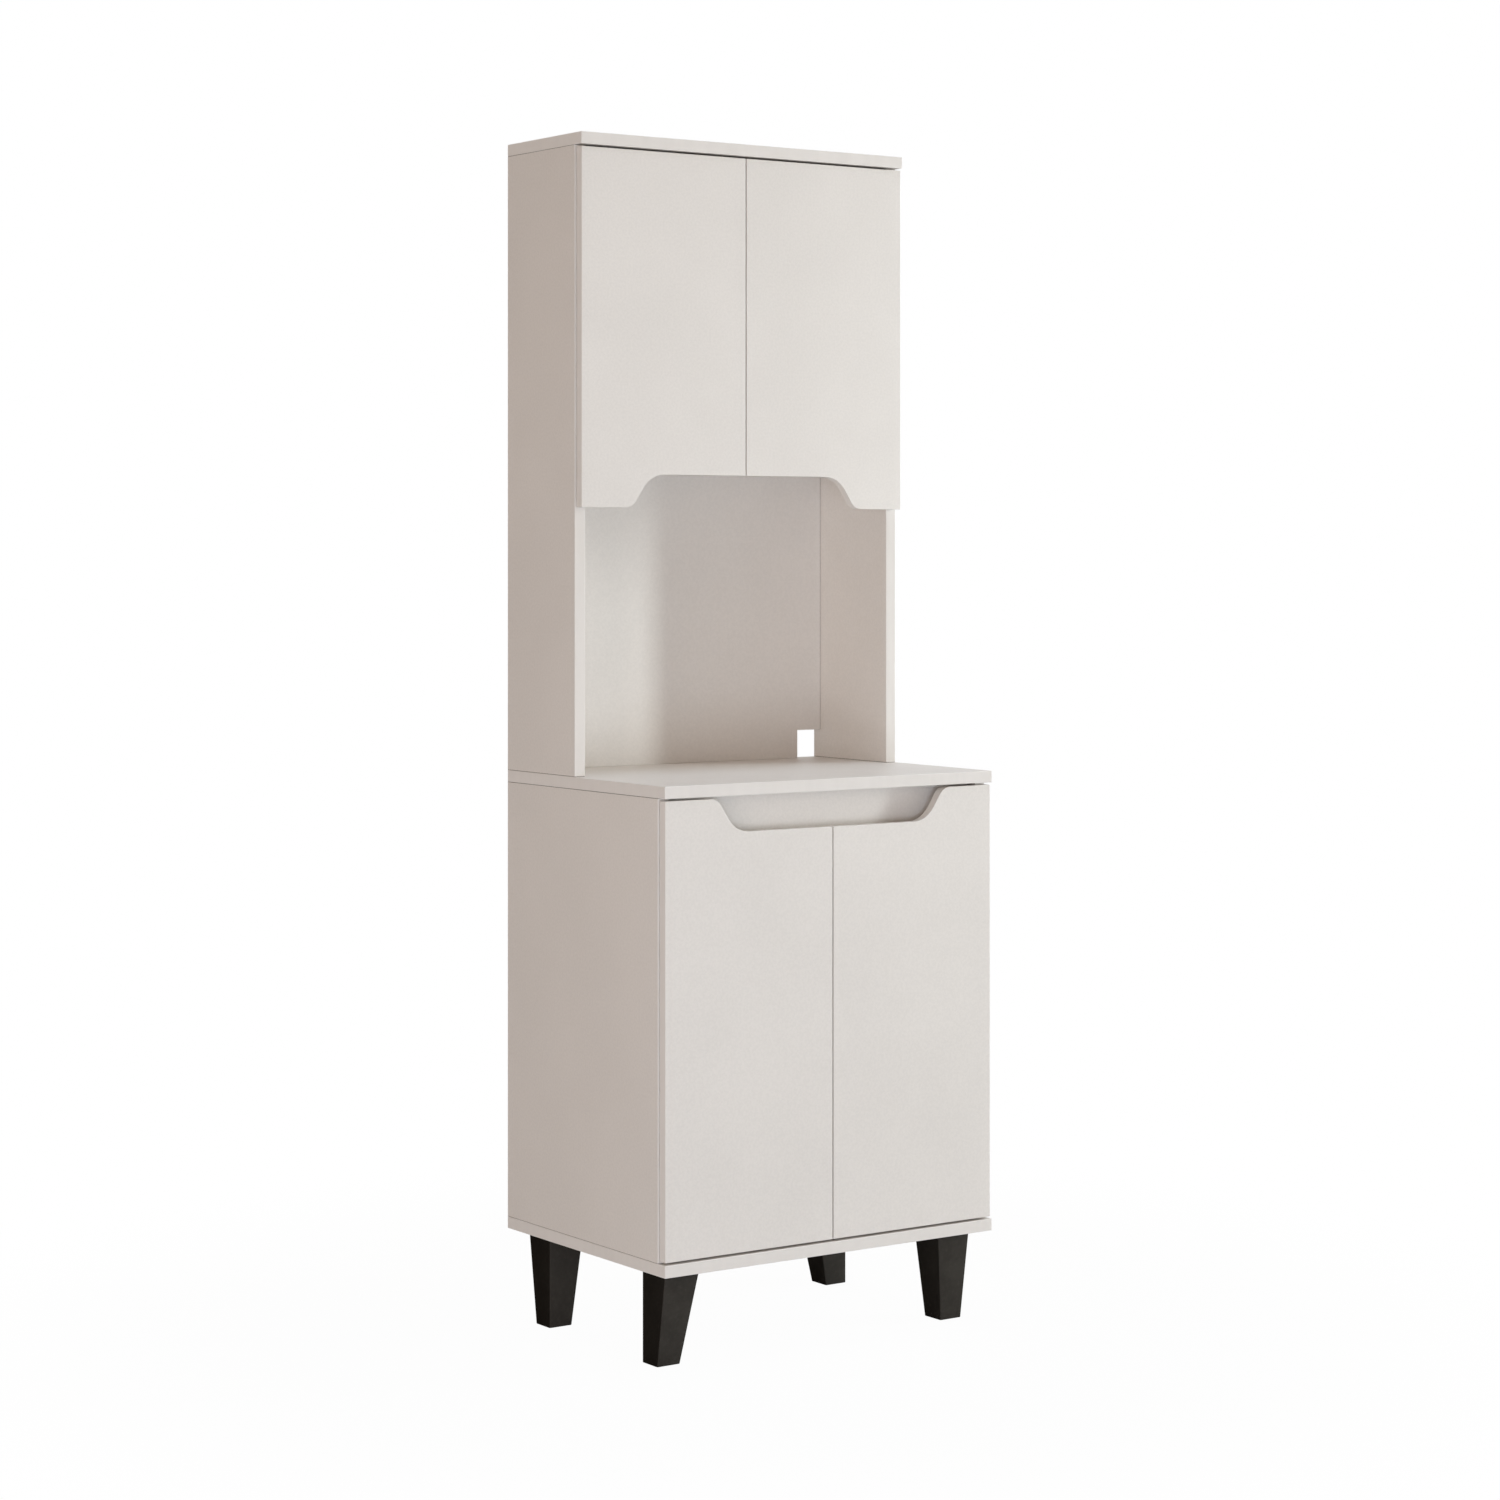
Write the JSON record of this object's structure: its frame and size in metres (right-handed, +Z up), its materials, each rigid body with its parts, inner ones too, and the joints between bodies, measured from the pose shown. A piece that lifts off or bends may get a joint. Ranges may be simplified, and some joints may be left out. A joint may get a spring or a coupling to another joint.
{
  "type": "microwave cabinet",
  "caption": "Tall free-standing kitchen cabinet with a doored base on tapered legs, an open microwave bay over a deep worktop, and a shallower doored cupboard on top.",
  "frame": {"origin": "on the floor, under the middle of the cabinet's overall box", "axes": "+Z up, +Y from the doors towards the wall behind, +X to the right as seen from the front"},
  "size_m": [0.6, 0.44, 1.807],
  "materials": {
    "carcass_board": "warm white melamine-faced board, satin, with matching edge banding",
    "door_board": "warm white laminated door board, satin",
    "black_plastic": "black moulded plastic, slightly grained",
    "hinge_steel": "nickel-plated pressed steel",
    "shelf_pin_steel": "nickel-plated steel"
  },
  "bodies": {
    "carcass": {"base_left_side": "carcass_board", "base_right_side": "carcass_board", "hutch_left_side": "carcass_board", "hutch_right_side": "carcass_board", "bottom_panel": "carcass_board", "worktop": "carcass_board", "top_panel": "carcass_board", "upper_cupboard_floor": "carcass_board", "front_rail": "carcass_board", "base_back_panel": "carcass_board", "hutch_back_panel": "carcass_board", "base_shelf": "carcass_board", "upper_shelf": "carcass_board", "base_shelf_pin_front_left": "shelf_pin_steel", "base_shelf_pin_front_right": "shelf_pin_steel", "base_shelf_pin_back_left": "shelf_pin_steel", "base_shelf_pin_back_right": "shelf_pin_steel", "upper_shelf_pin_front_left": "shelf_pin_steel", "upper_shelf_pin_front_right": "shelf_pin_steel", "upper_shelf_pin_back_left": "shelf_pin_steel", "upper_shelf_pin_back_right": "shelf_pin_steel", "front_left_leg": "black_plastic", "front_right_leg": "black_plastic", "back_left_leg": "black_plastic", "back_right_leg": "black_plastic", "lower_left_bottom_hinge_arm": "hinge_steel", "lower_left_top_hinge_arm": "hinge_steel", "lower_right_bottom_hinge_arm": "hinge_steel", "lower_right_top_hinge_arm": "hinge_steel", "upper_left_bottom_hinge_arm": "hinge_steel", "upper_left_top_hinge_arm": "hinge_steel", "upper_right_bottom_hinge_arm": "hinge_steel", "upper_right_top_hinge_arm": "hinge_steel"},
    "lower_left_door": {"lower_left_door": "door_board", "lower_left_bottom_hinge_cup": "hinge_steel", "lower_left_top_hinge_cup": "hinge_steel"},
    "lower_left_hinge_links": {"lower_left_bottom_hinge_link": "hinge_steel", "lower_left_top_hinge_link": "hinge_steel"},
    "lower_right_door": {"lower_right_door": "door_board", "lower_right_bottom_hinge_cup": "hinge_steel", "lower_right_top_hinge_cup": "hinge_steel"},
    "lower_right_hinge_links": {"lower_right_bottom_hinge_link": "hinge_steel", "lower_right_top_hinge_link": "hinge_steel"},
    "upper_left_door": {"upper_left_door": "door_board", "upper_left_bottom_hinge_cup": "hinge_steel", "upper_left_top_hinge_cup": "hinge_steel"},
    "upper_left_hinge_links": {"upper_left_bottom_hinge_link": "hinge_steel", "upper_left_top_hinge_link": "hinge_steel"},
    "upper_right_door": {"upper_right_door": "door_board", "upper_right_bottom_hinge_cup": "hinge_steel", "upper_right_top_hinge_cup": "hinge_steel"},
    "upper_right_hinge_links": {"upper_right_bottom_hinge_link": "hinge_steel", "upper_right_top_hinge_link": "hinge_steel"}
  },
  "joints": [
    {"name": "lower_left_door_hinge", "type": "hinge", "parent": "carcass", "child": "lower_left_door", "pos_m": [-0.294, -0.213, 0.4925], "axis": [0, 0, -1], "range_deg": [0, 100]},
    {"name": "lower_left_links_pivot", "type": "hinge", "parent": "carcass", "child": "lower_left_hinge_links", "pos_m": [-0.274, -0.2102, 0.4925], "axis": [0, 0, 1], "range_deg": [0, 36]},
    {"name": "lower_right_door_hinge", "type": "hinge", "parent": "carcass", "child": "lower_right_door", "pos_m": [0.294, -0.213, 0.4925], "axis": [0, 0, 1], "range_deg": [0, 100]},
    {"name": "lower_right_links_pivot", "type": "hinge", "parent": "carcass", "child": "lower_right_hinge_links", "pos_m": [0.274, -0.2102, 0.4925], "axis": [0, 0, -1], "range_deg": [0, 36]},
    {"name": "upper_left_door_hinge", "type": "hinge", "parent": "carcass", "child": "upper_left_door", "pos_m": [-0.294, 0.013, 1.5165], "axis": [0, 0, -1], "range_deg": [0, 100]},
    {"name": "upper_left_links_pivot", "type": "hinge", "parent": "carcass", "child": "upper_left_hinge_links", "pos_m": [-0.274, 0.0158, 1.5165], "axis": [0, 0, 1], "range_deg": [0, 36]},
    {"name": "upper_right_door_hinge", "type": "hinge", "parent": "carcass", "child": "upper_right_door", "pos_m": [0.294, 0.013, 1.5165], "axis": [0, 0, 1], "range_deg": [0, 100]},
    {"name": "upper_right_links_pivot", "type": "hinge", "parent": "carcass", "child": "upper_right_hinge_links", "pos_m": [0.274, 0.0158, 1.5165], "axis": [0, 0, -1], "range_deg": [0, 36]}
  ],
  "couplings": [
    {"joint": "lower_left_links_pivot", "follows": "lower_left_door_hinge", "ratio": 0.35},
    {"joint": "lower_right_links_pivot", "follows": "lower_right_door_hinge", "ratio": 0.35},
    {"joint": "upper_left_links_pivot", "follows": "upper_left_door_hinge", "ratio": 0.35},
    {"joint": "upper_right_links_pivot", "follows": "upper_right_door_hinge", "ratio": 0.35}
  ]
}
